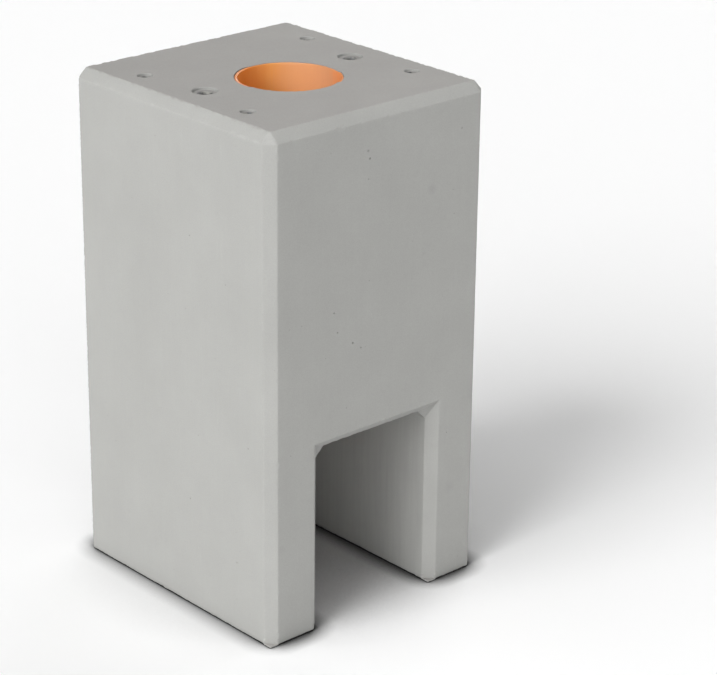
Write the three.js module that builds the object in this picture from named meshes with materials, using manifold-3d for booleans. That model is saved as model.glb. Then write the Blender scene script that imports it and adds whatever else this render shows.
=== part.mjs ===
// Precast concrete foundation block with a cable tunnel at its foot.
// Millimetres, +Z up. The origin is the middle of the underside, on the ground.
// The tunnel runs along Y. Front is the -Y side, which the pipe is nearer to, and left the -X side.
import * as THREE from 'three';
import { ConvexGeometry } from 'three/addons/geometries/ConvexGeometry.js';
import { mergeVertices } from 'three/addons/utils/BufferGeometryUtils.js';
import Module from 'manifold-3d';

// Block
const blockWidth = 420;
const blockDepth = 450;
const blockHeight = 790;
const edgeChamfer = 15;
// Thin square toes of cement left at the foot of two chamfers in front
const toeHeight = 3;

// Cable tunnel, running from front to back, open below
const tunnelWidth = 220;
const tunnelHeight = 290;
const tunnelHaunch = 15;
const mouthChamfer = 15;

// Drain pipe cast in upright between the top and the tunnel
const pipeOuterDiameter = 160;
const pipeWall = 4;
const pipeForward = 22.5;
const pipeBelowTop = 1;

// Anchor sockets for the base plate of what stands on the block, near its four corners
const anchorFromSide = 52.5;
const anchorFromEnd = 107.5;
const anchorBoreDiameter = 12;
const anchorSocketDiameter = 16;
const anchorSocketLength = 50;
const anchorRecessDiameter = 23;
const anchorRecessDepth = 3.5;

// Lifting sockets on the middle line from left to right
const liftingFromSide = 70;
const liftingBoreDiameter = 16;
const liftingSocketDiameter = 22;
const liftingSocketLength = 80;
const liftingRecessDiameter = 38;
const liftingRecessDepth = 4;

// Common to all sockets
const socketFloor = 5;
const mouthBevel = 0.8;
const recessDraft = 0.8;

// Clearance between a cast-in piece and the concrete around it
const castInGap = 0.3;

// How far cutting bodies reach past the faces they cut
const overrun = 10;

// Segments in a full circle
const pipeSegments = 72;
const socketSegments = 32;

const halfWidth = blockWidth / 2;
const halfDepth = blockDepth / 2;
const tunnelHalf = tunnelWidth / 2;

const concrete = new THREE.MeshStandardMaterial({ color: 0xa9a8a4, roughness: 0.85, metalness: 0 });
const orangePlastic = new THREE.MeshStandardMaterial({ color: 0xd27a3a, roughness: 0.45, metalness: 0 });
const zincedSteel = new THREE.MeshStandardMaterial({ color: 0x8c8d8e, roughness: 0.4, metalness: 0.9 });

const wasm = await Module();
wasm.setup();

// A closed geometry as a solid that can be cut and joined
function solidOf(geometry) {
  const bare = geometry.clone();
  bare.deleteAttribute('normal');
  bare.deleteAttribute('uv');
  const merged = mergeVertices(bare, 1e-4);
  return new wasm.Manifold(new wasm.Mesh({
    numProp: 3,
    vertProperties: new Float32Array(merged.attributes.position.array),
    triVerts: new Uint32Array(merged.index.array),
  }));
}

// A solid back as a geometry, with flat facets
function geometryOf(solid) {
  const mesh = solid.getMesh();
  const geometry = new THREE.BufferGeometry();
  geometry.setAttribute('position', new THREE.BufferAttribute(new Float32Array(mesh.vertProperties), 3));
  geometry.setIndex(new THREE.BufferAttribute(new Uint32Array(mesh.triVerts), 1));
  geometry.computeVertexNormals();
  return geometry;
}

// A solid of revolution about a vertical line, from a closed profile of [radius, height] points
function revolved(profile, segments, x, y) {
  const points = profile.map(([radius, height]) => new THREE.Vector2(radius, height));
  const geometry = new THREE.LatheGeometry(points, segments);
  geometry.rotateX(Math.PI / 2);
  geometry.translate(x, y, 0);
  return geometry;
}

// The eight points of a square with its corners cut off, at one height
function chamferedRing(z) {
  const ring = [];
  for (const sx of [-1, 1]) {
    for (const sy of [-1, 1]) {
      ring.push(new THREE.Vector3(sx * halfWidth, sy * (halfDepth - edgeChamfer), z));
      ring.push(new THREE.Vector3(sx * (halfWidth - edgeChamfer), sy * halfDepth, z));
    }
  }
  return ring;
}

// The block before anything is cut from it: chamfered uprights and top edges,
// three chamfers meeting in a small triangle at each top corner
function blockBlank() {
  const points = [...chamferedRing(0), ...chamferedRing(blockHeight - edgeChamfer)];
  for (const sx of [-1, 1]) {
    for (const sy of [-1, 1]) {
      points.push(new THREE.Vector3(
        sx * (halfWidth - edgeChamfer), sy * (halfDepth - edgeChamfer), blockHeight));
    }
  }
  return solidOf(new ConvexGeometry(points));
}

// A toe that fills the foot of a chamfer out to its square front left corner at x, y
function toe(x, y, chamfer) {
  const geometry = new THREE.BoxGeometry(chamfer, chamfer, toeHeight);
  geometry.translate(x + chamfer / 2, y + chamfer / 2, toeHeight / 2);
  return solidOf(geometry);
}

// Outline of the tunnel across its length, with the two upper corners haunched
function tunnelOutline(foot) {
  return [
    [-tunnelHalf, foot],
    [tunnelHalf, foot],
    [tunnelHalf, tunnelHeight - tunnelHaunch],
    [tunnelHalf - tunnelHaunch, tunnelHeight],
    [-tunnelHalf + tunnelHaunch, tunnelHeight],
    [-tunnelHalf, tunnelHeight - tunnelHaunch],
  ];
}

function tunnelCutter() {
  const points = [];
  for (const y of [-halfDepth - overrun, halfDepth + overrun]) {
    for (const [x, z] of tunnelOutline(-overrun)) {
      points.push(new THREE.Vector3(x, y, z));
    }
  }
  return solidOf(new ConvexGeometry(points));
}

// The chamfer round one mouth: square-cornered at the face, meeting the haunched outline inside
function mouthCutter(side) {
  const points = [];
  const openHalf = tunnelHalf + mouthChamfer;
  const openTop = tunnelHeight + mouthChamfer;
  for (const y of [halfDepth, halfDepth + overrun]) {
    for (const x of [-openHalf, openHalf]) {
      points.push(new THREE.Vector3(x, side * y, -overrun));
      points.push(new THREE.Vector3(x, side * y, openTop));
    }
  }
  for (const [x, z] of tunnelOutline(-overrun)) {
    points.push(new THREE.Vector3(x, side * (halfDepth - mouthChamfer), z));
  }
  return solidOf(new ConvexGeometry(points));
}

const pipeRadius = pipeOuterDiameter / 2;

function pipeHoleCutter() {
  const radius = pipeRadius + castInGap;
  const low = tunnelHeight - overrun;
  const high = blockHeight + overrun;
  const profile = [[0, low], [radius, low], [radius, high], [0, high]];
  return solidOf(revolved(profile, pipeSegments, 0, -pipeForward));
}

// Where each kind of socket goes and how big it is
const anchorKind = {
  bore: anchorBoreDiameter / 2,
  outer: anchorSocketDiameter / 2,
  length: anchorSocketLength,
  recessRadius: anchorRecessDiameter / 2,
  recessDepth: anchorRecessDepth,
};
const liftingKind = {
  bore: liftingBoreDiameter / 2,
  outer: liftingSocketDiameter / 2,
  length: liftingSocketLength,
  recessRadius: liftingRecessDiameter / 2,
  recessDepth: liftingRecessDepth,
};
const sockets = [];
for (const [sx, sideName] of [[-1, 'left'], [1, 'right']]) {
  for (const [sy, endName] of [[-1, 'front'], [1, 'back']]) {
    sockets.push({
      name: `anchor_socket_${endName}_${sideName}`,
      x: sx * (halfWidth - anchorFromSide),
      y: sy * (halfDepth - anchorFromEnd),
      kind: anchorKind,
    });
  }
  sockets.push({
    name: `lifting_socket_${sideName}`,
    x: sx * (halfWidth - liftingFromSide),
    y: 0,
    kind: liftingKind,
  });
}

// The shallow round recess in the top, a little narrower at its floor, and the hole below it for the socket
function socketCutter({ x, y, kind }) {
  const mouth = blockHeight - kind.recessDepth;
  const flare = recessDraft / kind.recessDepth;
  const holeRadius = kind.outer + castInGap;
  const holeFloor = mouth - kind.length - castInGap;
  const profile = [
    [0, holeFloor],
    [holeRadius, holeFloor],
    [holeRadius, mouth],
    [kind.recessRadius - recessDraft, mouth],
    [kind.recessRadius + flare * overrun, blockHeight + overrun],
    [0, blockHeight + overrun],
  ];
  return solidOf(revolved(profile, socketSegments, x, y));
}

function concreteBody() {
  let body = blockBlank()
    .subtract(tunnelCutter())
    .subtract(mouthCutter(-1))
    .subtract(mouthCutter(1))
    .subtract(pipeHoleCutter())
    .add(toe(-halfWidth, -halfDepth, edgeChamfer))
    .add(toe(tunnelHalf, -halfDepth, mouthChamfer));
  for (const socket of sockets) {
    body = body.subtract(socketCutter(socket));
  }
  return geometryOf(body);
}

function conduitPipe() {
  const inner = pipeRadius - pipeWall;
  const low = tunnelHeight;
  const high = blockHeight - pipeBelowTop;
  const profile = [[inner, low], [pipeRadius, low], [pipeRadius, high], [inner, high], [inner, low]];
  return revolved(profile, pipeSegments, 0, -pipeForward);
}

// A blind socket, its mouth flush with the floor of its recess
function castInSocket({ x, y, kind }) {
  const mouth = blockHeight - kind.recessDepth;
  const foot = mouth - kind.length;
  const profile = [
    [0, foot],
    [kind.outer, foot],
    [kind.outer, mouth],
    [kind.bore + mouthBevel, mouth],
    [kind.bore, mouth - mouthBevel],
    [kind.bore, foot + socketFloor],
    [0, foot + socketFloor],
  ];
  return revolved(profile, socketSegments, x, y);
}

function named(name, geometry, material) {
  const mesh = new THREE.Mesh(geometry, material);
  mesh.name = name;
  return mesh;
}

const foundation = new THREE.Group();
foundation.add(named('concrete_body', concreteBody(), concrete));
foundation.add(named('conduit_pipe', conduitPipe(), orangePlastic));
for (const socket of sockets) {
  foundation.add(named(socket.name, castInSocket(socket), zincedSteel));
}

export default foundation;
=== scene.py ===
# Precast concrete foundation with a cable tunnel, a drain pipe cast in upright and sockets in its top.
# Sizes are in millimetres and become metres when a piece is made. Front is -Y, up is +Z.
import math

import bpy
import numpy as np
from mathutils import Matrix, Vector, geometry, noise


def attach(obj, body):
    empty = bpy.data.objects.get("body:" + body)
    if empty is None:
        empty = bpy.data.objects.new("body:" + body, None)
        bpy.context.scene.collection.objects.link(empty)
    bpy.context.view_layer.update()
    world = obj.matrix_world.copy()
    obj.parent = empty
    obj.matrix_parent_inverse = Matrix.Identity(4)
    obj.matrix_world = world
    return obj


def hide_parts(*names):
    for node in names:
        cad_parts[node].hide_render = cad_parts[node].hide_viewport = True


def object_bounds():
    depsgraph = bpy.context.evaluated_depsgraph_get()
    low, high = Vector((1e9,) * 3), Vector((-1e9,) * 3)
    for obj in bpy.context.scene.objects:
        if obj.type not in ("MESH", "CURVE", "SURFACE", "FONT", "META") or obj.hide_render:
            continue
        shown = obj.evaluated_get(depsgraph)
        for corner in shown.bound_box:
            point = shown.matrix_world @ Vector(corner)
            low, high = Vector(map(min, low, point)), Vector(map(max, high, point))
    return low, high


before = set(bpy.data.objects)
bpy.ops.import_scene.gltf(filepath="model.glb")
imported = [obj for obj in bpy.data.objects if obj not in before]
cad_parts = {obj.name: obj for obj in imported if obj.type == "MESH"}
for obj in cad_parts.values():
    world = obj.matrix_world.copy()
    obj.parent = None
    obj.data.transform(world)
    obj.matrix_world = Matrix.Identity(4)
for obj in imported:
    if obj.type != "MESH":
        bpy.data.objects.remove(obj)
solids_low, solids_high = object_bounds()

# The camera of the photograph, found from the block's straight edges, its place in metres
PICTURE_WIDTH = 717
CAMERA_PLACE = (-2.3448, -2.7528, 1.8382)
CAMERA_AZIMUTH = -42.34
CAMERA_ELEVATION = 22.078
CAMERA_ROLL = 0.6305
CAMERA_FOCAL_PIXELS = 2549
FILM_WIDTH = 36

# Soft lights all round, each by azimuth, elevation and strength: the main one stands to the left
SOFT_LIGHTS = [
    ("main_left", -86, 36, 2.44),
    ("low_front_left", -60, 14, 0.98),
    ("high_front", -28, 34, 0.62),
    ("high_back_left", -120, 60, 0.54),
    ("low_front_right", 32, 14, 0.63),
    ("low_right", 118, 14, 0.95),
    ("high_right", 85, 36, 0.42),
]
LIGHT_SPREAD = 38
SURROUND_STRENGTH = 0.04

# Floor and backdrop, in metres: both are far larger than any view of the block shows
FLOOR_REACH = 30
BACKDROP_REACH = 29
BACKDROP_RISE = 40

# Shade on the floor close to the block and further out. Its tone runs from a least one, where no sky is
# open, up to 1 at the share of open sky given second. In metres and shares: reach, that share, the least
# tone on the lit left side and elsewhere, and the tone that it never falls below
FLOOR_SHADE = [(0.034, 1, -0.1, -0.85, 0.06), (0.32, 0.75, 0.2, -0.15, 0.1)]
SHADE_SAMPLES = 12

# Block, as its solid has it, and tunnel
BLOCK_HALF_WIDTH, BLOCK_HALF_DEPTH, BLOCK_HEIGHT = (round(reach * 1000, 2) for reach in solids_high)
TUNNEL_CEILING = 290
TUNNEL_HALF_WIDTH = 110

# Pipe, and the hole for it. Painted light makes it paler across its width, towards the lit side given
PIPE_AXIS = (0, -22.5)
PIPE_OUTER = 80
PIPE_INNER = 76
PIPE_TOP = 789
PIPE_HOLE = 80.3
PAINTED_LIGHT_TOWARDS = (0.74, -0.67, 0)

# Sockets: bore, outer and recess radius, recess depth, length, thread pitch and depth of thread
M12 = {"bore": 6, "outer": 8, "recess": 11.5, "recess_depth": 3.5, "length": 50, "pitch": 1.75, "ridge": 0.95}
M16 = {"bore": 8, "outer": 11, "recess": 19, "recess_depth": 4, "length": 80, "pitch": 2, "ridge": 1.08}
SOCKETS = {
    "anchor_socket_front_left": (-157.5, -117.5, M12),
    "anchor_socket_back_left": (-157.5, 117.5, M12),
    "anchor_socket_front_right": (157.5, -117.5, M12),
    "anchor_socket_back_right": (157.5, 117.5, M12),
    "lifting_socket_left": (-140, 0, M16),
    "lifting_socket_right": (140, 0, M16),
}
SOCKET_FLOOR = 5
SOCKET_BEVEL = 0.8
SOCKET_EASE = 0.6
STEPS_PER_PITCH = 6

# Recesses: how far their rims are eased, and the painted shade that darkens their rims and insides
RIM_EASE = 0.35
RIM_SHADE = -0.2
RECESS_SHADE = -0.45

# Air holes left by bubbles against the mould, as seen: place on the face, radius and depth
FRONT_HOLES = [
    (-89, 501, 1.6, 1.6), (-82, 469, 1.7, 1.8), (-52.5, 445.5, 1.8, 1.9), (-36.5, 434, 1.5, 1.4),
    (-150, 497, 1.1, 0.8), (-23, 719, 1.9, 2.0), (-26, 731, 2.6, 0.7), (-25, 689, 1.3, 1.0),
    (-105, 435, 1.0, 0.7), (-173, 497, 0.9, 0.6), (-97, 742, 0.9, 0.6), (-28, 433, 0.9, 0.8),
]
LEFT_HOLES = [
    (96, 739, 0.9, 0.6), (28, 730, 1.1, 0.6), (-108, 730, 0.8, 0.5), (-103, 425, 0.9, 0.6),
    (-112, 409, 0.8, 0.6), (102, 327, 0.8, 0.5), (142, 211, 1.1, 0.9), (-147, 162, 1.0, 0.6),
]

# The other air holes are strewn at random, so far in from the sides, foot and top of a face. Each keeps
# clear of the outline, and its rings of mesh points are given by share of its radius and number of points
RANDOM_HOLES_PER_METRE_SQUARED = 55
HOLES_FROM_SIDE = 30
HOLES_FROM_FOOT = 25
HOLES_FROM_OUTLINE = 8
HOLE_RINGS = ((0.5, 6), (1.0, 9), (1.6, 9))

# Painted highlight on the top chamfers: how much paler they are than broad faces, as a share of wear's full
# range
CHAMFER_HIGHLIGHT = 0.24

# Painted shade on the chamfers over the tunnel's mouths, which face down: how much darker they are painted
LINTEL_SHADE = -0.15
HAUNCH_SHADE = -0.6

# Darker spots in the cement skin, in nets of three sizes: width of a cell, radius of the largest spots,
# share of the cells that hold one, and the darkest tone
SPOTS = [(31.25, 6, 0.35, 0.972), (13.33, 2.4, 0.3, 0.96), (5.26, 0.8, 0.25, 0.8)]

# The marks that show best, as seen: place, radius and tone
SEEN_MARKS = [
    ((103, -225, 651), 13, 0.88), ((119, -225, 618), 8, 0.92), ((130, -225, 600), 7, 0.92),
    ((90, -225, 555), 8, 0.93), ((57, -225, 606), 7, 0.94), ((72, -225, 682), 8, 0.94),
    ((154, -225, 158), 16, 0.94), ((-186, -225, 159), 12, 0.95), ((166, -225, 480), 2.5, 1.12),
    ((-210, 23, 725), 9, 0.97), ((-210, 34, 305), 10, 0.97), ((-210, -136, 189), 10, 0.965),
    ((-210, 118, 108), 9, 0.97), ((-210, -107, 653), 9, 0.97),
]

# Arrises: how deep sand and coarser grains broke out and chips went, how far from the arris each fades, how
# pale a fresh break is and how deep the palest one
LEAST_CRUMB = 0.16
SAND_CRUMB = 0.75
GRAIN_CRUMB = 0.45
CHIP_DEPTH = 2.6
CRUMB_REACH = 1.1
CHIP_REACH = 2.4
BREAK_WEAR = 0.22
PALEST_DEPTH = 1.1

# How much more the top's arrises crumbled than the others, how far down that fades, and the share of it
# that the arrises over the tunnel's mouths got
TOP_CRUMB = 2.2
TOP_BAND = 40
MOUTH_SHARE = 0.8

# Foot: how far the arris stands off the ground and is broken back, how far in the hollow under it reaches,
# and how mottled it is
FOOT_RISE = 2.4
FOOT_INWARD = 0.7
FOOT_HOLLOW = 13
FOOT_MOTTLE = 1.4

# The two toes left at the foot: the share of the rise that they have, how far round them that eases, and
# each one's least x and y and its side
TOE_RISE = 0.45
TOE_EASE = 2.5
TOE_CORNERS = ((-210, -225, 15), (110, -225, 15))

# Cement skin over the pipe's rim: how far in it laps, its thickness, the gap where it broke away, and how
# much lower the ledge round the pipe lies there
SKIN_LAP = 3.1
SKIN_THICKNESS = 0.75
BARE_GAP = 0.8
LEDGE_DROP = 2.5

# The two stretches of the rim that it leaves bare, in degrees round the pipe: from, to, and how far it eases
BARE_LEFT = (97, 187, 9)
BARE_RIGHT = (-64, -20, 4)

# Mesh of the block: spacing along arrises, of the row beside them and at recesses, growth away from them,
# the coarsest spacing, the number of lattices, each half as coarse as the one before, and the share of
# its spacing by which a lattice's points are strewn
ARRIS_STEP = 2.0
ARRIS_ROW = 0.8
RECESS_STEP = 1.2
MESH_GROWTH = 0.42
COARSEST = 24.0
LATTICES = 5
STREWN = 0.12

# How near the hole's round a corner of its many-sided wall lies, a point on a side of it, and what touches it
CORNER_SLACK = 0.05
SIDE_SLACK = 0.12
TOUCH_SLACK = 0.3

# The range in which most of a noise lies
MOST = {"From Min": 0.3, "From Max": 0.7}


def linear(hex_colour):
    """A colour written as sRGB hex, as the linear values that a shader takes."""
    parts = [int(hex_colour[i:i + 2], 16) / 255 for i in (1, 3, 5)]
    return (*[p / 12.92 if p <= 0.04045 else ((p + 0.055) / 1.055) ** 2.4 for p in parts], 1)


def per_metre(size):
    """How many features of a size in millimetres go into a metre, which is a pattern's scale."""
    return 1000 / size


def add(material, kind, inputs=None, stops=(), **settings):
    """A node with its settings, colour stops and inputs: a value, or the socket that a link comes from."""
    tree = material.node_tree
    node = tree.nodes.new(kind)
    for name, value in settings.items():
        setattr(node, name, value)
    for number, (position, colour) in enumerate(stops):
        band = node.color_ramp.elements
        stop = band[number] if number < len(band) else band.new(position)
        stop.position = position
        stop.color = linear(colour)
    for name, value in (inputs or {}).items():
        socket = node.inputs[name]
        if isinstance(value, bpy.types.NodeSocket):
            tree.links.new(value, socket)
        else:
            socket.default_value = value
    return node


def new_material(name):
    """An empty material."""
    material = bpy.data.materials.new(name)
    material.use_nodes = True
    material.node_tree.nodes.clear()
    return material


def cast_concrete():
    """Grey concrete cast against a steel mould: matt and close, faintly clouded, streaked and spotted."""
    m = new_material("cast_concrete")
    coordinates = add(m, "ShaderNodeTexCoord")
    place = coordinates.outputs["Object"]
    # Marks a finger wide
    marks = add(m, "ShaderNodeTexNoise",
                {"Vector": place, "Scale": per_metre(22.2), "Detail": 3, "Roughness": 0.55})
    tones = [add(m, "ShaderNodeMapRange",
                 {"Value": marks.outputs["Fac"], **MOST, "To Min": 0.985, "To Max": 1.012})]
    # Sand grains: most are under a millimetre, too fine to show, so they are drawn at a millimetre and a half
    grain = add(m, "ShaderNodeTexNoise",
                {"Vector": place, "Scale": per_metre(1.43), "Detail": 2, "Roughness": 0.6})
    tones.append(add(m, "ShaderNodeMapRange",
                     {"Value": grain.outputs["Fac"], **MOST, "To Min": 0.95, "To Max": 1.04}))
    tones.append(concrete_streaks(m, place))
    # The outlines of spots and marks are frayed by up to a few millimetres
    fray = add(m, "ShaderNodeVectorMath", {0: marks.outputs["Color"], "Scale": 8 / 1000}, operation="SCALE")
    frayed = add(m, "ShaderNodeVectorMath", {0: place, 1: fray.outputs["Vector"]}, operation="ADD")
    tones += concrete_spots(m, frayed.outputs["Vector"])
    # Pale scuffs a centimetre wide and long, up to the right, as a sling or a shovel leaves them
    slant = add(m, "ShaderNodeMapping", {"Vector": place, "Rotation": (0.6, 0.6, 0), "Scale": (1, 1, 0.12)})
    scuff = add(m, "ShaderNodeTexNoise",
                {"Vector": slant.outputs["Vector"], "Scale": per_metre(9.09), "Detail": 2})
    tones.append(add(m, "ShaderNodeMapRange",
                     {"Value": scuff.outputs["Fac"], "From Min": 0.68, "From Max": 0.8,
                      "To Min": 1, "To Max": 1.035}))
    tones += concrete_marks(m, frayed.outputs["Vector"])
    # Pale breaks and a mottled foot; painted highlight on upward chamfers, painted shade in holes, recesses
    # and under lintels
    wear_and_painted_light = add(m, "ShaderNodeAttribute", attribute_name="wear_and_painted_light")
    tones.append(add(m, "ShaderNodeMapRange",
                     {"Value": wear_and_painted_light.outputs["Fac"], "From Min": -1, "From Max": 1,
                      "To Min": 0.7, "To Max": 1.3}))
    tone = tones[0].outputs[0]
    for other in tones[1:]:
        tone = add(m, "ShaderNodeMath", {0: tone, 1: other.outputs[0]}, operation="MULTIPLY").outputs[0]
    base = concrete_base(m, coordinates)
    colour = add(m, "ShaderNodeVectorMath", {0: base.outputs[2], "Scale": tone}, operation="SCALE")
    bump = add(m, "ShaderNodeBump",
               {"Height": grain.outputs["Fac"], "Strength": 0.25, "Distance": 0.4 / 1000})
    rough = add(m, "ShaderNodeMapRange",
                {"Value": marks.outputs["Fac"], **MOST, "To Min": 0.74, "To Max": 0.88})
    shader = add(m, "ShaderNodeBsdfPrincipled",
                 {"Base Color": colour.outputs["Vector"], "Roughness": rough.outputs["Result"],
                  "Normal": bump.outputs["Normal"], "IOR": 1.5, "Metallic": 0})
    add(m, "ShaderNodeOutputMaterial", {"Surface": shader.outputs["BSDF"]})
    return m


def concrete_base(m, coordinates):
    """Clouds a hand wide, where the cement skin dried at its own pace, and a little warmer on what faces up.
    """
    place = coordinates.outputs["Object"]
    cloud = add(m, "ShaderNodeTexNoise",
                {"Vector": place, "Scale": per_metre(111), "Detail": 4, "Roughness": 0.6})
    tone_elsewhere = add(m, "ShaderNodeValToRGB", {"Fac": cloud.outputs["Fac"]},
                stops=[(0.3, "#9a9a97"), (0.5, "#9c9c99"), (0.7, "#9e9e9b")])
    # A little warmer on what faces up
    tone_facing_up = add(m, "ShaderNodeValToRGB", {"Fac": cloud.outputs["Fac"]},
                stops=[(0.3, "#9c9a97"), (0.5, "#9e9c99"), (0.7, "#a09e9b")])
    facing = add(m, "ShaderNodeSeparateXYZ", {"Vector": coordinates.outputs["Normal"]})
    upward = add(m, "ShaderNodeMapRange", {"Value": facing.outputs["Z"], "From Min": 0.8, "From Max": 0.95})
    return add(m, "ShaderNodeMix",
               {0: upward.outputs["Result"], 6: tone_elsewhere.outputs["Color"], 7: tone_facing_up.outputs["Color"]},
               data_type="RGBA")


def concrete_streaks(m, place):
    """Faint upright streaks six millimetres wide, from water and release oil that ran down the mould."""
    run = add(m, "ShaderNodeMapping", {"Vector": place, "Scale": (1, 1, 0.05)})
    streak = add(m, "ShaderNodeTexNoise",
                 {"Vector": run.outputs["Vector"], "Scale": per_metre(5.88), "Detail": 2})
    # They are stronger on the walls of the tunnel, along which its former was drawn
    at = add(m, "ShaderNodeSeparateXYZ", {"Vector": place})
    off_middle = add(m, "ShaderNodeMath", {0: at.outputs["X"]}, operation="ABSOLUTE")
    beside = add(m, "ShaderNodeMapRange",
                 {"Value": off_middle.outputs[0], "From Min": (TUNNEL_HALF_WIDTH + 8) / 1000,
                  "From Max": (TUNNEL_HALF_WIDTH + 2) / 1000})
    below = add(m, "ShaderNodeMapRange",
                {"Value": at.outputs["Z"], "From Min": (TUNNEL_CEILING + 10) / 1000,
                 "From Max": (TUNNEL_CEILING - 5) / 1000})
    in_tunnel = add(m, "ShaderNodeMath", {0: beside.outputs[0], 1: below.outputs[0]}, operation="MULTIPLY")
    share = in_tunnel.outputs[0]
    darkest = add(m, "ShaderNodeMapRange", {"Value": share, "To Min": 0.994, "To Max": 0.98})
    palest = add(m, "ShaderNodeMapRange", {"Value": share, "To Min": 1.006, "To Max": 1.04})
    return add(m, "ShaderNodeMapRange",
               {"Value": streak.outputs["Fac"], **MOST, "To Min": darkest.outputs[0],
                "To Max": palest.outputs[0]})


def concrete_spots(m, place):
    """Darker spots in some of the cells of three nets."""
    tones = []
    for cell, radius, share, darkest in SPOTS:
        cells = add(m, "ShaderNodeTexVoronoi", {"Vector": place, "Scale": per_metre(cell)})
        chance = add(m, "ShaderNodeSeparateColor", {"Color": cells.outputs["Color"]})
        chosen = add(m, "ShaderNodeMapRange",
                     {"Value": chance.outputs["Red"], "From Min": 1 - share, "From Max": 1,
                      "To Min": 0, "To Max": radius / cell})
        depth = add(m, "ShaderNodeMath", {0: chosen.outputs["Result"], 1: cells.outputs["Distance"]},
                    operation="SUBTRACT")
        tones.append(add(m, "ShaderNodeMapRange",
                         {"Value": depth.outputs[0], "From Min": 0, "From Max": 0.6 * radius / cell,
                          "To Min": 1, "To Max": darkest}))
    return tones


def concrete_marks(m, place):
    """The marks that show best, each at its own place."""
    tones = []
    for mark_place, radius, tone in SEEN_MARKS:
        apart = add(m, "ShaderNodeVectorMath", {0: place, 1: [c / 1000 for c in mark_place]},
                    operation="DISTANCE")
        tones.append(add(m, "ShaderNodeMapRange",
                         {"Value": apart.outputs["Value"], "From Min": 0, "From Max": radius / 1000,
                          "To Min": tone, "To Max": 1}, interpolation_type="SMOOTHSTEP"))
    return tones


def extruded_pvc():
    """Orange hard PVC, extruded: a soft sheen, faint lines along the pipe, and painted light, paler on its
    lit side.
    """
    m = new_material("extruded_orange_pvc")
    place = add(m, "ShaderNodeTexCoord").outputs["Object"]
    # Extrusion lines run the pipe's whole length. Real ones are finer than a millimetre, too fine to show,
    # so they are drawn four millimetres apart
    along = add(m, "ShaderNodeMapping", {"Vector": place, "Scale": (1, 1, 0.02)})
    lines = add(m, "ShaderNodeTexNoise",
                {"Vector": along.outputs["Vector"], "Scale": per_metre(3.85), "Detail": 2})
    # Cement dust in clouds of a few centimetres
    dust = add(m, "ShaderNodeTexNoise", {"Vector": place, "Scale": per_metre(33.3), "Detail": 3})
    mixed = add(m, "ShaderNodeMath", {0: lines.outputs["Fac"], 1: dust.outputs["Fac"]}, operation="ADD")
    blotch = add(m, "ShaderNodeMapRange",
                 {"Value": mixed.outputs[0], "From Min": 0.6, "From Max": 1.4,
                  "To Min": -0.05, "To Max": 0.05})
    # Painted light: deep orange on the pipe's shaded side and paler across it towards its lit side
    across = add(m, "ShaderNodeVectorMath", {0: place, 1: PAINTED_LIGHT_TOWARDS}, operation="DOT_PRODUCT")
    reach = PIPE_INNER / 1000
    centre = sum(a * b for a, b in zip(PIPE_AXIS, PAINTED_LIGHT_TOWARDS)) / 1000
    share = add(m, "ShaderNodeMapRange",
                {"Value": across.outputs["Value"], "From Min": centre - reach, "From Max": centre + reach})
    painted_light_and_blotch = add(m, "ShaderNodeMath", {0: share.outputs["Result"], 1: blotch.outputs["Result"]},
                operation="ADD")
    base = add(m, "ShaderNodeValToRGB", {"Fac": painted_light_and_blotch.outputs[0]},
               stops=[(0.08, "#e38631"), (0.3, "#e79f58"), (0.5, "#dd9d68"), (0.9, "#cb9066"),
                      (1, "#de8c55")])
    rough = add(m, "ShaderNodeMapRange",
                {"Value": dust.outputs["Fac"], **MOST, "To Min": 0.36, "To Max": 0.5})
    bump = add(m, "ShaderNodeBump",
               {"Height": lines.outputs["Fac"], "Strength": 0.06, "Distance": 0.3 / 1000})
    shader = add(m, "ShaderNodeBsdfPrincipled",
                 {"Base Color": base.outputs["Color"], "Roughness": rough.outputs["Result"],
                  "Normal": bump.outputs["Normal"], "IOR": 1.53, "Metallic": 0})
    add(m, "ShaderNodeOutputMaterial", {"Surface": shader.outputs["BSDF"]})
    return m


def zinced_steel():
    """Turned steel, zinc plated and dulled by cement: a grey metal with a blurred shine and pale haze."""
    m = new_material("zinc_plated_steel")
    place = add(m, "ShaderNodeTexCoord").outputs["Object"]
    # Cement haze in patches of a few millimetres
    haze = add(m, "ShaderNodeTexNoise",
               {"Vector": place, "Scale": per_metre(6.25), "Detail": 4, "Roughness": 0.65})
    base = add(m, "ShaderNodeValToRGB", {"Fac": haze.outputs["Fac"]},
               stops=[(0.4, "#77787a"), (0.6, "#96958f")])
    rough = add(m, "ShaderNodeMapRange",
                {"Value": haze.outputs["Fac"], "From Min": 0.4, "From Max": 0.6,
                 "To Min": 0.45, "To Max": 0.8})
    # Where the haze is thick it hides the metal
    bare = add(m, "ShaderNodeMapRange",
               {"Value": haze.outputs["Fac"], "From Min": 0.42, "From Max": 0.56,
                "To Min": 1, "To Max": 0.1})
    shader = add(m, "ShaderNodeBsdfPrincipled",
                 {"Base Color": base.outputs["Color"], "Roughness": rough.outputs["Result"],
                  "Metallic": bare.outputs["Result"]})
    add(m, "ShaderNodeOutputMaterial", {"Surface": shader.outputs["BSDF"]})
    return m


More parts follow.
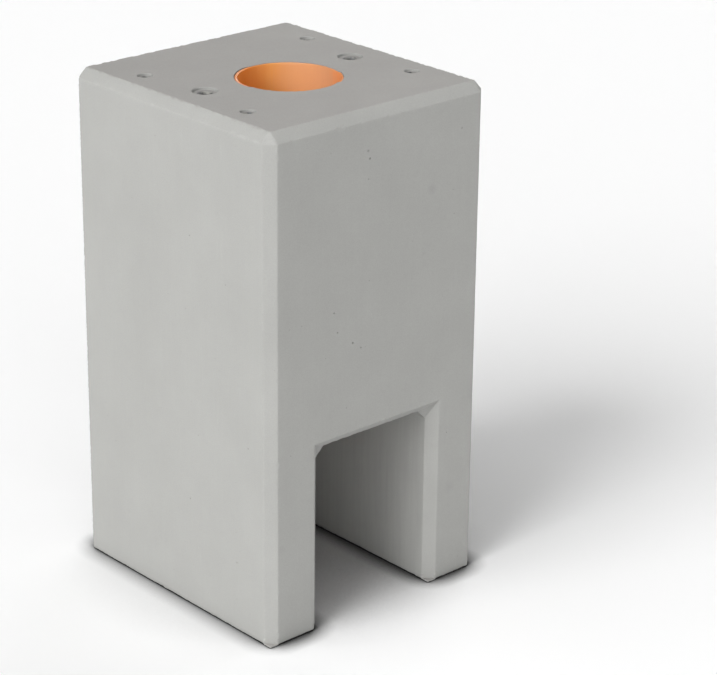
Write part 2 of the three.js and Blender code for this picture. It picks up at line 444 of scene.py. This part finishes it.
def studio_paper():
    """White matt studio paper, darker where something stands close, as in the shade between two surfaces."""
    m = new_material("white_paper")
    place = add(m, "ShaderNodeSeparateXYZ", {"Vector": add(m, "ShaderNodeTexCoord").outputs["Object"]})
    # The shade changes over two centimetres, about where the block's left face stands
    left_end, right_start = (-BLOCK_HALF_WIDTH - 5) / 1000, (-BLOCK_HALF_WIDTH + 15) / 1000
    tone = None
    for reach, ends, least_left, least_right, darkest in FLOOR_SHADE:
        least = add(m, "ShaderNodeMapRange",
                    {"Value": place.outputs["X"], "From Min": left_end, "From Max": right_start,
                     "To Min": least_left, "To Max": least_right})
        open_sky = add(m, "ShaderNodeAmbientOcclusion", {"Distance": reach}, samples=SHADE_SAMPLES)
        shade = add(m, "ShaderNodeMapRange",
                    {"Value": open_sky.outputs["AO"], "From Min": 0, "From Max": ends,
                     "To Min": least.outputs["Result"], "To Max": 1})
        kept = add(m, "ShaderNodeMath", {0: shade.outputs["Result"], 1: darkest}, operation="MAXIMUM")
        if tone is None:
            tone = kept.outputs[0]
        else:
            tone = add(m, "ShaderNodeMath", {0: tone, 1: kept.outputs[0]}, operation="MULTIPLY").outputs[0]
    colour = add(m, "ShaderNodeVectorMath", {0: linear("#fafafa")[:3], "Scale": tone}, operation="SCALE")
    shader = add(m, "ShaderNodeBsdfPrincipled",
                 {"Base Color": colour.outputs["Vector"], "Roughness": 0.9, "Specular IOR Level": 0.2})
    add(m, "ShaderNodeOutputMaterial", {"Surface": shader.outputs["BSDF"]})
    return m


def piece(name, points, faces, material, node, smooth_angle=35, wear_and_painted_light=None):
    """A piece of the object from points in millimetres, in place of its plain solid."""
    mesh = bpy.data.meshes.new(name)
    mesh.from_pydata((np.asarray(points) / 1000).tolist(), [], faces)
    mesh.polygons.foreach_set("use_smooth", [True] * len(mesh.polygons))
    mesh.set_sharp_from_angle(angle=math.radians(smooth_angle))
    if wear_and_painted_light is not None:
        values = mesh.attributes.new("wear_and_painted_light", "FLOAT", "POINT").data
        values.foreach_set("value", np.asarray(wear_and_painted_light, np.float32))
    mesh.materials.append(material)
    mesh.validate()
    made = bpy.data.objects.new(name, mesh)
    bpy.context.scene.collection.objects.link(made)
    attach(made, "root")
    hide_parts(node)
    return made


def skinned(rings, closed):
    """Faces over rings of equally many points. Closed joins last to first, else both ends are filled."""
    count, around = len(rings), len(rings[0])
    points = [tuple(p) for ring in rings for p in ring]
    faces = []
    for j in range(count if closed else count - 1):
        low, high = j * around, (j + 1) % count * around
        for i in range(around):
            k = (i + 1) % around
            faces.append((low + i, low + k, high + k, high + i))
    if not closed:
        for ring, turn in ((0, 1), (count - 1, -1)):
            start = ring * around
            middle = len(points)
            points.append(tuple(np.mean(rings[ring], axis=0)))
            for i in range(around):
                faces.append((middle, start + (i + 1) % around, start + i)[::turn])
    return points, faces


def ring_at(radius, height, axis, around):
    """A ring of points, with a radius and a height that may differ round it."""
    turn = np.arange(around) * 2 * math.pi / around
    radius = np.broadcast_to(radius, around)
    height = np.broadcast_to(height, around)
    return np.stack([axis[0] + radius * np.cos(turn), axis[1] + radius * np.sin(turn), height], axis=1)


def grain_at(points, size, seed):
    """Smooth noise from about -1 to 1 at each point, with features of that size, another for each seed."""
    shift = Vector((seed * 17.3, seed * 5.1, seed * 9.7))
    return np.array([noise.noise(Vector(p) / size + shift) for p in points])


def welded(node):
    """Corners in millimetres and triangles of a solid."""
    mesh = node.data
    mesh.calc_loop_triangles()
    points = np.empty(len(mesh.vertices) * 3, np.float32)
    mesh.vertices.foreach_get("co", points)
    places = (points.reshape(-1, 3).astype(float) * 1000).round(3)
    corners, place = np.unique(places, axis=0, return_inverse=True)
    triangles = np.empty(len(mesh.loop_triangles) * 3, int)
    mesh.loop_triangles.foreach_get("vertices", triangles)
    return corners, place.reshape(-1)[triangles].reshape(-1, 3)


def facets_of(corners, triangles):
    """The flat facets of a solid, and the number of the facet that each directed edge belongs to."""
    a, b, c = (corners[triangles[:, k]] for k in range(3))
    normals = np.cross(b - a, c - a)
    normals /= np.linalg.norm(normals, axis=1)[:, None]
    owner = {}
    for t, (i, j, k) in enumerate(triangles.tolist()):
        owner[i, j] = owner[j, k] = owner[k, i] = t
    group = [-1] * len(triangles)
    facets = []
    for first in range(len(triangles)):
        if group[first] >= 0:
            continue
        group[first] = len(facets)
        members = [first]
        for t in members:
            i, j, k = triangles[t].tolist()
            for edge in ((j, i), (k, j), (i, k)):
                other = owner[edge]
                if group[other] < 0 and normals[other] @ normals[first] > 0.99999:
                    group[other] = len(facets)
                    members.append(other)
        facets.append({"triangles": members, "normal": normals[first]})
    sides = {edge: group[t] for edge, t in owner.items()}
    return facets, sides


def near_segments(points, starts, ends):
    """Least distance from each flat point to any of the segments."""
    least = np.full(len(points), np.inf)
    for a, b in zip(starts, ends):
        run = b - a
        along = np.clip((points - a) @ run / (run @ run), 0, 1)
        gap = points - a - along[:, None] * run
        least = np.minimum(least, np.einsum("ij,ij->i", gap, gap))
    return np.sqrt(least)


class Plane:
    """The plane of a facet: flat points are measured along its longest edge and across that."""

    def __init__(self, facet, outline, corners):
        i, j = max(outline, key=lambda edge: np.linalg.norm(corners[edge[1]] - corners[edge[0]]))
        along = corners[j] - corners[i]
        along /= np.linalg.norm(along)
        self.origin = corners[i]
        self.axes = np.stack([along, np.cross(facet["normal"], along)], axis=1)
        self.starts = np.array([self.flatten(corners[i]) for i, _ in outline])
        self.ends = np.array([self.flatten(corners[j]) for _, j in outline])

    def flatten(self, places):
        return (places - self.origin) @ self.axes

    def lift(self, points):
        return points @ self.axes.T + self.origin

    def gap(self, points):
        """How far flat points are from the facet's outline."""
        return near_segments(points, self.starts, self.ends)

    def holds(self, points):
        """Whether flat points lie in the facet, and not in a hole of it."""
        crossings = np.zeros(len(points), int)
        for (ax, ay), (bx, by) in zip(self.starts, self.ends):
            if ay == by:
                continue
            spans = (points[:, 1] > min(ay, by)) & (points[:, 1] <= max(ay, by))
            crossings += spans & (ax + (points[:, 1] - ay) * (bx - ax) / (by - ay) > points[:, 0])
        return crossings % 2 == 1


def left_of(outline, flat_faces):
    """The triangles on the left of a directed outline, found by walking from it over shared edges."""
    beside = {}
    for number, (a, b, c) in enumerate(flat_faces):
        beside[a, b] = beside[b, c] = beside[c, a] = number
    border = set(outline)
    queue = list(dict.fromkeys(beside[edge] for edge in outline))
    kept = set(queue)
    for number in queue:
        a, b, c = flat_faces[number]
        for edge in ((a, b), (b, c), (c, a)):
            other = beside.get(edge[::-1])
            if edge not in border and other is not None and other not in kept:
                kept.add(other)
                queue.append(other)
    return [flat_faces[number] for number in queue]


def off_pipe_hole(place):
    """How far places are from the round of the pipe's hole, in or out."""
    return np.abs(np.hypot(place[..., 0] - PIPE_AXIS[0], place[..., 1] - PIPE_AXIS[1]) - PIPE_HOLE)


def recess_reach(points):
    """How far points of the top lie outside the nearest recess, below zero within it."""
    least = np.full(len(points), np.inf)
    for x, y, kind in SOCKETS.values():
        least = np.minimum(least, np.hypot(points[:, 0] - x, points[:, 1] - y) - kind["recess"])
    return least


def is_arris(facet, neighbour, start, end):
    """Whether the edge between two facets stands out to be knocked, and isn't at the pipe or a recess."""
    inward = np.cross(facet["normal"], end - start)
    stands_out = neighbour["normal"] @ inward < 0 and facet["normal"] @ neighbour["normal"] < 0.94
    middle = (start + end) / 2
    in_recess = middle[2] > BLOCK_HEIGHT / 2 and recess_reach(middle[None])[0] < 1
    return stands_out and off_pipe_hole(middle) >= TOUCH_SLACK and not in_recess


def edge_spacing(start, end, turn):
    """Spacing of mesh points along an edge between two facets, given the cosine of their turn."""
    middle = (start + end) / 2
    on_round = turn > 0.985 and abs(end[2] - start[2]) > 10
    if on_round:
        return np.linalg.norm(end - start)
    if middle[2] > BLOCK_HEIGHT - 4.5 and recess_reach(middle[None])[0] < 1:
        return RECESS_STEP
    return ARRIS_STEP


def painted_light_of_facet(normal, corner):
    """How much paler or darker a facet is painted than the broad faces, as painted highlight or shade, from
    its normal and one of its corners.
    """
    # Painted shade on the chamfers over the tunnel's mouths, which face down
    if normal[2] < -0.3 and abs(normal[1]) > 0.3:
        return LINTEL_SHADE if normal[2] < -0.6 else HAUNCH_SHADE
    # Painted highlight on chamfers that slant up, away from the pipe's hole and the recesses
    in_recess = corner[2] >= BLOCK_HEIGHT - 5 and recess_reach(corner[None])[0] <= 1
    slanting_up = 0.5 < normal[2] < 0.8
    return CHAMFER_HIGHLIGHT * (slanting_up and off_pipe_hole(corner) > TOUCH_SLACK and not in_recess)


def row_beside(rim_flat, rim_edges, plane):
    """A row of flat points close to the outline, staggered against the points on it."""
    row = []
    for a, b in rim_edges:
        run = rim_flat[b] - rim_flat[a]
        length = np.linalg.norm(run)
        if length < 3 * ARRIS_STEP:
            square = np.array([-run[1], run[0]]) / length
            row.append((rim_flat[a] + rim_flat[b]) / 2 + square * ARRIS_ROW)
    row = np.array(row).reshape(-1, 2)
    return row[plane.holds(row) & (plane.gap(row) > 0.95 * ARRIS_ROW)]


def holes_on(normal, random):
    """Air holes of one upright face: place, radius and depth."""
    seen = {(0, -1): (FRONT_HOLES, lambda u, z: (u, -BLOCK_HALF_DEPTH, z)),
            (-1, 0): (LEFT_HOLES, lambda u, z: (-BLOCK_HALF_WIDTH, u, z))}
    key = (round(normal[0]), round(normal[1]))
    found = []
    if key in seen:
        listed, place = seen[key]
        found += [(np.array(place(u, z), float), radius, depth) for u, z, radius, depth in listed]
    reach = BLOCK_HALF_DEPTH if key[0] else BLOCK_HALF_WIDTH
    area = 2 * reach * BLOCK_HEIGHT / 1e6
    for _ in range(round(area * RANDOM_HOLES_PER_METRE_SQUARED)):
        u = random.uniform(HOLES_FROM_SIDE - reach, reach - HOLES_FROM_SIDE)
        z = random.uniform(HOLES_FROM_FOOT, BLOCK_HEIGHT - HOLES_FROM_SIDE)
        radius = 0.5 + 0.9 * random.random() ** 2
        at = (key[0] * BLOCK_HALF_WIDTH, u, z) if key[0] else (u, key[1] * BLOCK_HALF_DEPTH, z)
        found.append((np.array(at, float), radius, radius * random.uniform(0.5, 1.1)))
    return found


def holes_in(plane, rim_flat, normal, random):
    """The air holes of a facet, if it is one of the block's broad upright faces."""
    if abs(normal[2]) >= 0.1 or np.abs(normal).max() <= 0.99:
        return []
    # Narrow facets draw theirs too and drop them, so that the draws that follow stay the same
    drawn = holes_on(normal, random)
    wide = np.ptp(rim_flat, axis=0).min() > 200
    off_faces = np.abs(plane.origin[:2]) - [BLOCK_HALF_WIDTH, BLOCK_HALF_DEPTH]
    if not wide or off_faces.max() <= -0.1:
        return []
    kept = []
    for place, radius, depth in drawn:
        middle = plane.flatten(place)
        if plane.holds(middle[None])[0] and plane.gap(middle[None])[0] >= HOLES_FROM_OUTLINE:
            kept.append((middle, place, radius, depth))
    return kept


def hole_rings(holes):
    """Flat points at each air hole: its middle and the rings round that."""
    rings = []
    for middle, _, radius, _ in holes:
        rings.append(middle[None])
        for share, count in HOLE_RINGS:
            turn = np.arange(count) * 2 * math.pi / count + share
            rings.append(middle + radius * share * np.stack([np.cos(turn), np.sin(turn)], axis=1))
    return rings


def lattices(plane, rim_flat, holes, on_top, random):
    """Finer lattices nested in coarser ones, each used where the surface needs its step."""
    low, high = rim_flat.min(0), rim_flat.max(0)
    found = []
    for level in range(LATTICES):
        step = COARSEST / 2 ** level
        u = np.arange(math.floor(low[0] / step), math.ceil(high[0] / step) + 1)
        v = np.arange(math.floor(low[1] / step), math.ceil(high[1] / step) + 1)
        grid = np.stack(np.meshgrid(u, v, indexing="ij"), axis=-1).reshape(-1, 2)
        if level:
            grid = grid[(grid % 2).any(axis=1)]
        spread = grid * step + random.uniform(-STREWN, STREWN, grid.shape) * step
        spread = spread[plane.holds(spread)]
        gap = plane.gap(spread)
        need = ARRIS_STEP + MESH_GROWTH * (gap - ARRIS_ROW)
        from_holes = [(np.hypot(*(spread - middle).T), radius) for middle, _, radius, _ in holes]
        for away, radius in from_holes:
            need = np.minimum(need, radius + MESH_GROWTH * away)
        if on_top:
            reach = recess_reach(plane.lift(spread))
            need = np.minimum(need, RECESS_STEP + MESH_GROWTH * np.maximum(0, reach - 2))
        used = (gap > ARRIS_ROW + 0.45 * np.minimum(need, step)) & ((need < 1.45 * step) | (level == 0))
        for away, radius in from_holes:
            used &= away > 2.2 * radius
        found.append(spread[used])
    return found


def concrete_block(material):
    """The block with its surface meshed finely along arrises, recesses and air holes, then worn there."""
    corners, triangles = welded(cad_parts["concrete_body"])
    facets, sides = facets_of(corners, triangles)
    random = np.random.RandomState(7)
    on_pipe_hole = off_pipe_hole(corners) < CORNER_SLACK
    points = [tuple(c) for c in corners]
    between = {}

    def split(i, j):
        """Points from corner i to corner j, the same ones for both facets that share the edge."""
        key = (min(i, j), max(i, j))
        if key not in between:
            a, b = corners[key[0]], corners[key[1]]
            turn = facets[sides[key]]["normal"] @ facets[sides[key[::-1]]]["normal"]
            count = max(1, round(np.linalg.norm(b - a) / edge_spacing(a, b, turn)))
            made = []
            for k in range(1, count):
                made.append(len(points))
                points.append(tuple(a + (b - a) * k / count))
            between[key] = [key[0], *made, key[1]]
        found = between[key]
        return found if i < j else found[::-1]

    faces = []
    all_holes = []
    gap_of, normal_of, point_painted_light = {}, {}, {}
    for number, facet in enumerate(facets):
        # The wall of the pipe's hole is made by itself, further on
        if on_pipe_hole[triangles[facet["triangles"]]].all():
            continue
        outline = []
        for i, j, k in triangles[facet["triangles"]].tolist():
            outline += [edge for edge in ((i, j), (j, k), (k, i)) if sides[edge[::-1]] != number]
        plane = Plane(facet, outline, corners)
        rim, rim_edges = [], []
        place_of = {}
        for i, j in outline:
            run = split(i, j)
            for p in run:
                if p not in place_of:
                    place_of[p] = len(rim)
                    rim.append(p)
            rim_edges += [(place_of[p], place_of[q]) for p, q in zip(run, run[1:])]
        rim_flat = plane.flatten(np.array([points[p] for p in rim]))

        normal = facet["normal"]
        holes = holes_in(plane, rim_flat, normal, random)
        all_holes += [(place, radius, depth, normal) for _, place, radius, depth in holes]
        on_top = normal[2] > 0.5 and plane.origin[2] > BLOCK_HEIGHT - 5
        extra = np.concatenate([row_beside(rim_flat, rim_edges, plane), *hole_rings(holes),
                                *lattices(plane, rim_flat, holes, on_top, random)])
        every = np.concatenate([rim_flat, extra])
        arrises = np.array([is_arris(facet, facets[sides[j, i]], corners[i], corners[j]) for i, j in outline])
        every_gap = near_segments(every, plane.starts[arrises], plane.ends[arrises])

        result = geometry.delaunay_2d_cdt([Vector(p) for p in every], rim_edges, [], 0, 1e-7)
        index = list(rim)
        for p in plane.lift(extra):
            index.append(len(points))
            points.append(tuple(p))
        # Painted highlight or painted shade of this facet, kept for its points
        facet_painted_light = painted_light_of_facet(normal, plane.origin)
        for p, gap in zip(index, every_gap):
            gap_of[p] = min(gap_of.get(p, gap), gap)
            normal_of[p] = normal_of.get(p, 0) + normal
            point_painted_light[p] = max(point_painted_light.get(p, -1), facet_painted_light)
        source = [given[0] for given in result[3]]
        flat_faces = [[source[c] for c in corner] for corner in result[2]]
        faces += [[index[c] for c in corner] for corner in left_of(rim_edges, flat_faces)]

    used = sorted(gap_of)
    new_place = np.full(len(points), -1)
    new_place[used] = np.arange(len(used))
    points = np.array(points)[used]
    faces = new_place[np.array(faces)].tolist()
    gap = np.array([gap_of[p] for p in used])
    normal = np.array([normal_of[p] for p in used])
    normal /= np.linalg.norm(normal, axis=1)[:, None]
    facet_painted_light = np.array([point_painted_light[p] for p in used])
    worn, wear_and_painted_light = broken(points, gap, normal, all_holes)
    # The facets' painted shade adds to the wear, and their painted highlight counts where it is paler
    wear_and_painted_light = np.where(wear_and_painted_light < 0, wear_and_painted_light, np.where(facet_painted_light < 0, wear_and_painted_light + facet_painted_light, np.maximum(wear_and_painted_light, facet_painted_light)))
    worn, wear_and_painted_light = line_pipe_hole(points, worn, wear_and_painted_light, faces)
    piece("concrete_block", worn, faces, material, "concrete_body", wear_and_painted_light=wear_and_painted_light)


def broken(points, gap, normal, all_holes):
    """The block's points once worn, and their wear: above zero for pale breaks, below it for painted shade
    and dark mottling.
    """
    worn = points.copy()
    wear_and_painted_light = np.zeros(len(points))
    crumble_arrises(points, gap, normal, worn, wear_and_painted_light)
    raise_foot(points, gap, normal, worn, wear_and_painted_light)
    ease_recesses(points, worn, wear_and_painted_light)
    for place, radius, depth, facing in all_holes:
        away = points - place
        reach = np.linalg.norm(away, axis=1)
        pit = (reach < radius * 1.05) & (np.abs(away @ facing) < 0.1)
        bowl = np.sqrt(np.maximum(0, 1 - (reach[pit] / radius) ** 2))
        worn[pit] -= facing * (depth * bowl)[:, None]
        # Painted shade inside each air hole, darkest at its middle
        wear_and_painted_light[pit] = -bowl
    return worn, wear_and_painted_light


def crumble_arrises(points, gap, normal, worn, wear_and_painted_light):
    """Sand and coarser grains broke out along the arrises, and chips where a patch was weak."""
    near = np.nonzero(gap < 8)[0]
    at = points[near]
    fine, coarse, patch = grain_at(at, 2.6, 1), grain_at(at, 9, 2), grain_at(at, 38, 3)
    top = np.clip((at[:, 2] - BLOCK_HEIGHT) / TOP_BAND + 1, 0, 1)
    at_lintel = np.abs(at[:, 2] - TUNNEL_CEILING - 8) < 12
    over_mouth = at_lintel & (np.abs(at[:, 1]) > BLOCK_HALF_DEPTH - 20)
    more = TOP_CRUMB * np.maximum(top, MOUTH_SHARE * over_mouth)
    crumb = LEAST_CRUMB + SAND_CRUMB * np.maximum(0, fine) + (GRAIN_CRUMB + more) * np.maximum(0, coarse)
    chips = CHIP_DEPTH * np.maximum(0, patch - 0.22) * np.maximum(0, coarse + 0.1)
    amount = crumb * np.exp(-(gap[near] / CRUMB_REACH) ** 2)
    amount += chips * np.exp(-(gap[near] / CHIP_REACH) ** 2)
    worn[near] -= normal[near] * amount[:, None]
    wear_and_painted_light[near] = np.clip(amount / PALEST_DEPTH, 0, 1) * BREAK_WEAR


def raise_foot(points, gap, normal, worn, wear_and_painted_light):
    """The foot's arris is where the mould was open: rougher and rounder, and a little off the ground."""
    toe_gap = np.full(len(points), np.inf)
    for x, y, side in TOE_CORNERS:
        off = np.maximum(0, np.maximum([x, y] - points[:, :2], points[:, :2] - [x + side, y + side]))
        toe_gap = np.minimum(toe_gap, np.hypot(off[:, 0], off[:, 1]))
    clear = TOE_RISE + (1 - TOE_RISE) * np.clip(toe_gap / TOE_EASE, 0, 1)
    low = np.nonzero(points[:, 2] < 12)[0]
    at = points[low]
    ragged = 1 + 0.3 * grain_at(at, 3, 15) + 0.25 * grain_at(at, 8, 4) + 0.25 * grain_at(at, 45, 5)
    rise = FOOT_RISE * ragged * clear[low]
    under = at[:, 2] < 0.01
    rim = np.where(under, 1 / (1 + (gap[low] / FOOT_HOLLOW) ** 4), np.exp(-at[:, 2] / (1.3 * FOOT_RISE)))
    worn[low, 2] += rise * rim
    sideways = normal[low] * [1, 1, 0]
    sideways /= np.maximum(np.linalg.norm(sideways, axis=1), 1e-6)[:, None]
    worn[low] -= sideways * (FOOT_INWARD * clear[low] * rim * (at[:, 2] < 4))[:, None]
    worn[low, 2] += np.where(under, 0.5 * np.abs(grain_at(at, 9, 6)) * clear[low], 0)
    worn[:, 2] = np.clip(worn[:, 2], 0, BLOCK_HEIGHT)
    wear_and_painted_light[low] += np.where(gap[low] < 1.2, FOOT_MOTTLE * grain_at(at, 2.4, 16), 0)


def ease_recesses(points, worn, wear_and_painted_light):
    """Recess rims are eased and a little ragged, and their floors lie uneven by a tenth of a millimetre."""
    for x, y, kind in SOCKETS.values():
        reach = np.hypot(points[:, 0] - x, points[:, 1] - y)
        mouth = BLOCK_HEIGHT - kind["recess_depth"]
        near = np.nonzero((reach < kind["recess"] + 3) & (points[:, 2] > mouth - 0.05))[0]
        from_rim = reach[near] - kind["recess"]
        outside = (points[near, 2] > BLOCK_HEIGHT - 0.05)
        ragged = 1 + 0.8 * grain_at(points[near], 3, 8)
        worn[near, 2] -= np.where(outside, RIM_EASE * ragged * np.exp(-(from_rim / 0.7) ** 2), 0)
        at_rim = outside & (np.abs(from_rim) < 0.3)
        outward = (points[near, :2] - [x, y]) / np.maximum(reach[near], 1e-6)[:, None]
        worn[near, :2] += outward * (0.3 * ragged * at_rim)[:, None]
        on_floor = (points[near, 2] < mouth + 0.05) & (reach[near] > kind["outer"] + 1)
        worn[near, 2] += np.where(on_floor, 0.15 * np.abs(grain_at(points[near], 6, 14)), 0)
        # Painted shade on the recesses' rims and insides
        wear_and_painted_light[near] = np.where(at_rim, RIM_SHADE, np.where(outside, wear_and_painted_light[near], RECESS_SHADE))


def within(turn, stretch):
    """1 inside a stretch of angles in degrees, easing to 0 at its ends."""
    start, end, ease = stretch
    off = np.abs((turn - (start + end) / 2 + 180) % 360 - 180)
    return np.clip(((end - start) / 2 - off) / ease, 0, 1)


def line_pipe_hole(points, worn, wear_and_painted_light, faces):
    """The hole round the pipe: a thin skin of cement over its rim, a ledge under that and the wall down."""
    from_axis = points[:, :2] - PIPE_AXIS
    round_hole = off_pipe_hole(points) < SIDE_SLACK
    turns = np.arctan2(from_axis[:, 1], from_axis[:, 0])
    loops = []
    for height in (BLOCK_HEIGHT, TUNNEL_CEILING):
        loop = np.nonzero(round_hole & (np.abs(points[:, 2] - height) < 0.01))[0]
        loops.append(loop[np.argsort(turns[loop])])
    top, bottom = loops
    turn = np.degrees(turns[top])
    ragged = grain_at(points[top], 5, 9) + 0.6 * grain_at(points[top], 14, 10)
    # On the left the skin broke away and left a gap, and on the right it ends flush with the pipe
    apart, flush = within(turn, BARE_LEFT), within(turn, BARE_RIGHT)
    lap = (1 - np.maximum(apart, flush)) * (SKIN_LAP + 0.8 * ragged) - apart * (BARE_GAP + 0.35 * ragged)
    outward = np.stack([np.cos(turns[top]), np.sin(turns[top]), 0 * turn], axis=1)
    centre = np.array([*PIPE_AXIS, 0])
    edge = centre + outward * (PIPE_HOLE - lap)[:, None]
    skin = BLOCK_HEIGHT - SKIN_THICKNESS - 0.1
    worn[top] = edge + [0, 0, BLOCK_HEIGHT - 0.05]
    wear_and_painted_light[top] = 0.05
    under = edge + outward * 0.1 + np.array([0, 0, skin])
    ledge_height = np.where(lap > 0, skin, skin - LEDGE_DROP)
    ledge = centre + outward * PIPE_HOLE + ledge_height[:, None] * [0, 0, 1]
    first = len(worn)
    count = len(top)
    rows = [top, np.arange(first, first + count), np.arange(first + count, first + 2 * count), bottom]
    for upper, lower in zip(rows, rows[1:]):
        for i in range(count):
            k = (i + 1) % count
            faces.append([int(upper[k]), int(lower[k]), int(lower[i]), int(upper[i])])
    return np.concatenate([worn, under, ledge]), np.concatenate([wear_and_painted_light, np.zeros(2 * count)])


def drain_pipe(material):
    """The pipe, sawn square, its cut end a little uneven and its arrises eased."""
    around = 240
    rim = ring_at(PIPE_OUTER, PIPE_TOP, PIPE_AXIS, around)
    saw = 0.22 * grain_at(rim, 30, 11) + 0.08 * grain_at(rim, 4, 12)
    top = PIPE_TOP - 0.15 + np.clip(saw, -0.6, 0.12)
    foot = TUNNEL_CEILING + 0.05
    wobble = 0.25 * grain_at(rim, 60, 13)
    profile = [
        (PIPE_OUTER - 0.1, foot), (PIPE_OUTER - 0.1, PIPE_TOP - 6), (PIPE_OUTER - 0.1, top - 0.5),
        (PIPE_OUTER - 0.5, top), (PIPE_INNER + 0.6, top), (PIPE_INNER + 0.15, top - 0.35),
    ]
    for depth in (1.2, 4, 12, 30, 60, 100, 160, 230, 310, 400):
        profile.append((PIPE_INNER + wobble * math.exp(-depth / 60), PIPE_TOP - depth))
    profile.append((PIPE_INNER, foot))
    rings = [ring_at(radius, height, PIPE_AXIS, around) for radius, height in profile]
    points, faces = skinned(rings, closed=True)
    piece("drain_pipe", points, faces, material, "conduit_pipe", smooth_angle=40)


def threaded_socket(name, x, y, kind, material):
    """A blind socket turned from bar: flat rim, bevelled mouth and a thread cut to near its floor."""
    around = 48
    bore, outer, ridge, pitch = kind["bore"], kind["outer"], kind["ridge"], kind["pitch"]
    mouth = BLOCK_HEIGHT - kind["recess_depth"]
    foot = mouth - kind["length"]
    profile = [
        (outer - SOCKET_EASE, foot), (outer, foot + SOCKET_EASE), (outer, mouth - 0.4), (outer - 0.4, mouth),
        (bore + SOCKET_BEVEL, mouth),
    ]
    turn = np.arange(around) / around
    depth = 0.15
    while depth < kind["length"] - SOCKET_FLOOR - 2:
        phase = (depth / pitch + turn) % 1
        flank = np.clip(1.6 * (1 - np.abs(2 * phase - 1)) - 0.2, 0, 1)
        profile.append((np.maximum(bore - ridge * flank, bore + SOCKET_BEVEL - depth), mouth - depth))
        depth += pitch / STEPS_PER_PITCH
    profile += [(bore - ridge, mouth - depth - 0.5), (bore - ridge, foot + SOCKET_FLOOR)]
    rings = [ring_at(radius, height, (x, y), around) for radius, height in profile]
    points, faces = skinned(rings, closed=False)
    piece(f"{name}_threaded", points, faces, material, name, smooth_angle=40)


def stage_piece(name, points, faces, material):
    """A piece of the studio, from points in metres."""
    mesh = bpy.data.meshes.new(name)
    mesh.from_pydata(points, [], faces)
    mesh.materials.append(material)
    made = bpy.data.objects.new(name, mesh)
    bpy.context.scene.collection.objects.link(made)
    return made


def backdrop():
    """A white wall far round the floor, which only the camera sees, so that it neither lights nor shades."""
    around = 96
    turn = np.arange(around) * 2 * math.pi / around
    points = [(BACKDROP_REACH * math.cos(t), BACKDROP_REACH * math.sin(t), z)
              for z in (-0.01, BACKDROP_RISE) for t in turn]
    faces = [(i, (i + 1) % around, around + (i + 1) % around, around + i) for i in range(around)]
    paper = new_material("lit_paper")
    glow = add(paper, "ShaderNodeEmission", {"Color": linear("#f8f8f8"), "Strength": 1})
    add(paper, "ShaderNodeOutputMaterial", {"Surface": glow.outputs["Emission"]})
    wall = stage_piece("backdrop", points, faces, paper)
    wall.visible_diffuse = False
    wall.visible_glossy = False
    wall.visible_shadow = False
    wall.visible_transmission = False


def towards(azimuth, elevation):
    """The direction from the object to a light or a camera at that azimuth and elevation in degrees."""
    turn, rise = math.radians(azimuth), math.radians(elevation)
    return Vector((math.sin(turn) * math.cos(rise), -math.cos(turn) * math.cos(rise), math.sin(rise)))


def stage():
    """White floor and backdrop, soft lights and a dim surround."""
    corners = [(-1, -1), (1, -1), (1, 1), (-1, 1)]
    stage_piece("floor", [(FLOOR_REACH * x, FLOOR_REACH * y, 0) for x, y in corners], [(0, 1, 2, 3)],
                studio_paper())
    backdrop()
    world = bpy.data.worlds.new("surround")
    world.use_nodes = True
    surround = world.node_tree.nodes["Background"]
    surround.inputs["Color"].default_value = linear("#f2f2f2")
    surround.inputs["Strength"].default_value = SURROUND_STRENGTH
    bpy.context.scene.world = world
    for name, azimuth, elevation, strength in SOFT_LIGHTS:
        soft = bpy.data.lights.new(name, "SUN")
        soft.energy = strength
        soft.angle = math.radians(LIGHT_SPREAD)
        made = bpy.data.objects.new(name, soft)
        made.matrix_world = towards(azimuth, elevation).to_track_quat("Z", "Y").to_matrix().to_4x4()
        bpy.context.scene.collection.objects.link(made)
    bpy.context.scene.view_settings.view_transform = "Standard"


def camera():
    """The photograph's camera, rolled a little to the side."""
    roll = math.radians(CAMERA_ROLL)
    back = towards(CAMERA_AZIMUTH, CAMERA_ELEVATION)
    level = (-back).cross(Vector((0, 0, 1))).normalized()
    rise = level.cross(-back)
    right = level * math.cos(roll) + rise * math.sin(roll)
    up = rise * math.cos(roll) - level * math.sin(roll)
    data = bpy.data.cameras.new("camera")
    data.sensor_width = FILM_WIDTH
    data.lens = CAMERA_FOCAL_PIXELS * FILM_WIDTH / PICTURE_WIDTH
    made = bpy.data.objects.new("camera", data)
    made.matrix_world = Matrix.Translation(CAMERA_PLACE) @ Matrix((right, up, back)).transposed().to_4x4()
    bpy.context.scene.collection.objects.link(made)
    bpy.context.scene.camera = made


concrete_block(cast_concrete())
drain_pipe(extruded_pvc())
steel = zinced_steel()
for name, (x, y, kind) in SOCKETS.items():
    threaded_socket(name, x, y, kind, steel)
stage()
camera()
